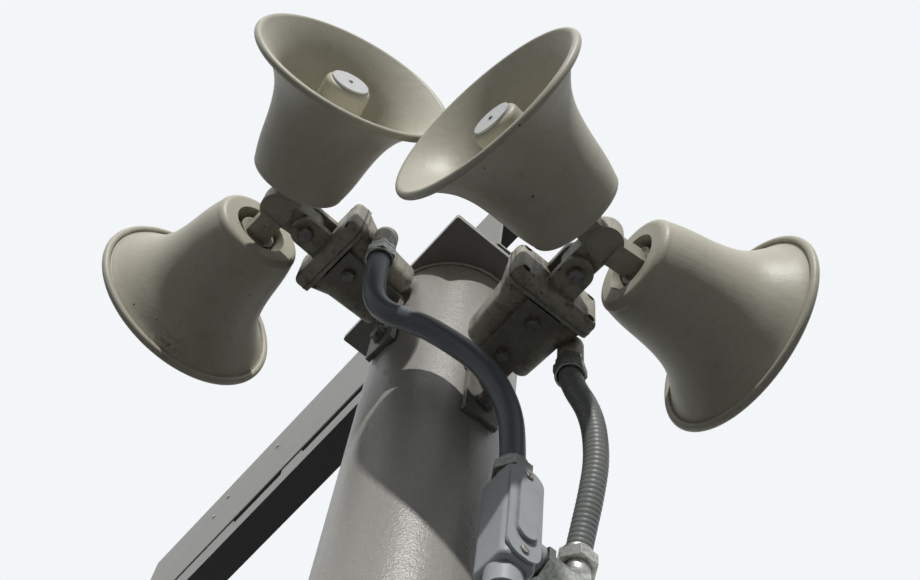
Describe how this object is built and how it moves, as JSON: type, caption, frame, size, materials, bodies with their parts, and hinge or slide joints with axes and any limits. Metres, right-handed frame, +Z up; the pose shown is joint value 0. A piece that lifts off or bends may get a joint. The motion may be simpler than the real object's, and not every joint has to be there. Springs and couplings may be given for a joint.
{
  "type": "civil defense siren tower",
  "caption": "Steel mast with a top arm and two clamped housings, each carrying a pair of back-to-back round siren horns on a swivel yoke, fed by flexible conduits.",
  "frame": {"origin": "centre of the base plate's underside, on the pole's axis", "axes": "+Z up along the pole, +Y along the top arm, away from the pole"},
  "size_m": [0.5991, 1.1243, 3.329],
  "materials": {
    "horn_paint": "satin",
    "housing_paint": "satin",
    "pole_paint": "semi-gloss",
    "arm_paint": "satin",
    "bracket_steel": "satin",
    "bolt_zinc": "zinc plated",
    "bolt_dirty": "weathered",
    "jacket": "satin",
    "body_grey": "satin",
    "connector_zinc": "zinc plated",
    "disc_white": "satin",
    "pipe_zinc": "galvanised"
  },
  "bodies": {
    "mast": {"base_plate": "pole_paint", "base_gussets": "pole_paint", "pole_tube": "pole_paint", "cap_plate": "pole_paint", "arm_strut": "arm_paint", "arm_packers": "arm_paint", "arm_tall_channel": "arm_paint", "arm_bolts": "bolt_zinc", "conduit_body": "body_grey", "conduit_body_cover": "body_grey", "conduit_nuts": "connector_zinc", "right_conduit_elbow": "connector_zinc", "left_flexible_conduit": "jacket", "right_flexible_conduit": "jacket", "riser_pipe": "pipe_zinc", "riser_straps": "pipe_zinc", "riser_standoffs": "pipe_zinc", "left_bracket": "bracket_steel", "left_bracket_bolts": "bolt_dirty", "left_housing": "housing_paint", "left_housing_cover": "housing_paint", "left_cover_screws": "bolt_dirty", "left_pivot_bolt": "bolt_dirty", "left_cable_connector": "connector_zinc", "right_bracket": "bracket_steel", "right_bracket_bolts": "bolt_dirty", "right_housing": "housing_paint", "right_housing_cover": "housing_paint", "right_cover_screws": "bolt_dirty", "right_pivot_bolt": "bolt_dirty", "right_cable_connector": "connector_zinc"},
    "left_speakers": {"left_yoke": "housing_paint", "upper_left_horn_bell": "horn_paint", "upper_left_horn_plug": "horn_paint", "upper_left_horn_plug_disc": "disc_white", "lower_left_horn_bell": "horn_paint", "lower_left_horn_plug": "horn_paint", "lower_left_horn_plug_disc": "disc_white"},
    "right_speakers": {"right_yoke": "housing_paint", "upper_right_horn_bell": "horn_paint", "upper_right_horn_plug": "horn_paint", "upper_right_horn_plug_disc": "disc_white", "lower_right_horn_bell": "horn_paint", "lower_right_horn_plug": "horn_paint", "lower_right_horn_plug_disc": "disc_white"}
  },
  "joints": [
    {"name": "left_pair_swivel", "type": "hinge", "parent": "mast", "child": "left_speakers", "pos_m": [-0.21741, -0.00911, 3.0745], "axis": [0, 0, 1], "range_deg": [-4, 0.6]},
    {"name": "right_pair_swivel", "type": "hinge", "parent": "mast", "child": "right_speakers", "pos_m": [-0.00443, -0.23046, 2.921], "axis": [0, 0, 1], "range_deg": [-0.6, 7]}
  ]
}
